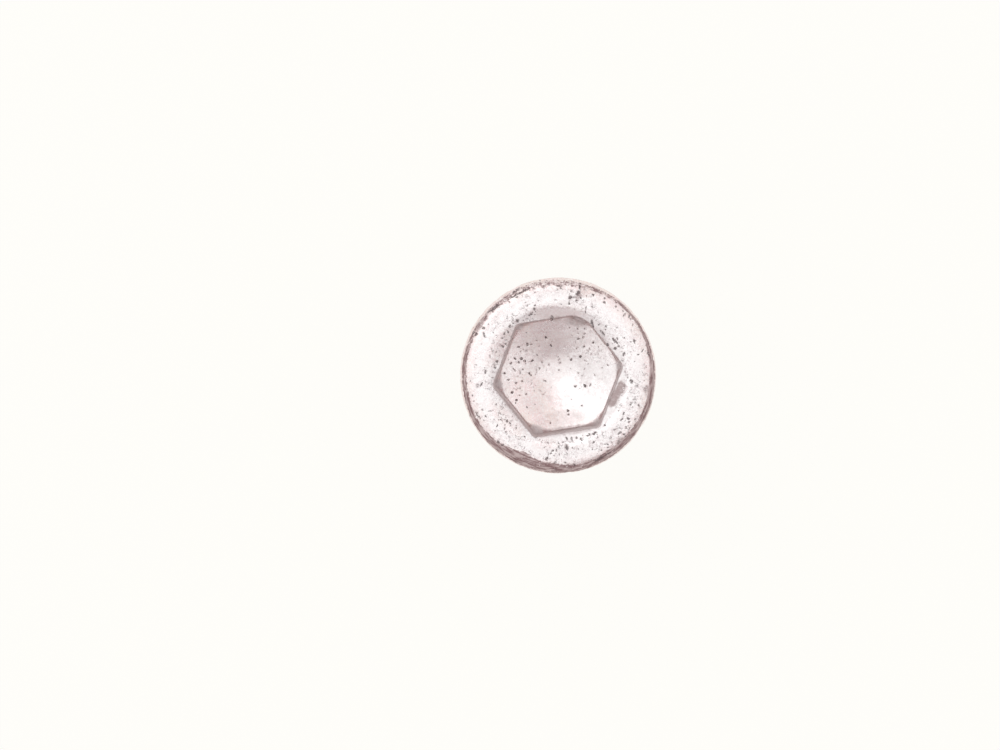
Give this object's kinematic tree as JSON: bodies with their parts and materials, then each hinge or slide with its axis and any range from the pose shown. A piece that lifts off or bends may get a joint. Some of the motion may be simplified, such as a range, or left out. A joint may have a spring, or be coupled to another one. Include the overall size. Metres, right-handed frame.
{
  "type": "hex socket cap screw",
  "caption": "Steel cap screw with a cylindrical head, rounded top edge, countersunk hexagon socket with a dished conical floor, short shank and chamfered point.",
  "frame": {"origin": "centre of the flat end face of the shank, which the screw stands on", "axes": "+Z along the screw's axis towards the head, +X through a corner of the hexagon socket"},
  "size_m": [0.024, 0.024, 0.046],
  "materials": {
    "worn_steel": "worn, finely pitted steel, dull grey-brown at the rim and in the socket's corners"
  },
  "bodies": {
    "root": {"screw": "worn_steel"}
  },
  "joints": []
}
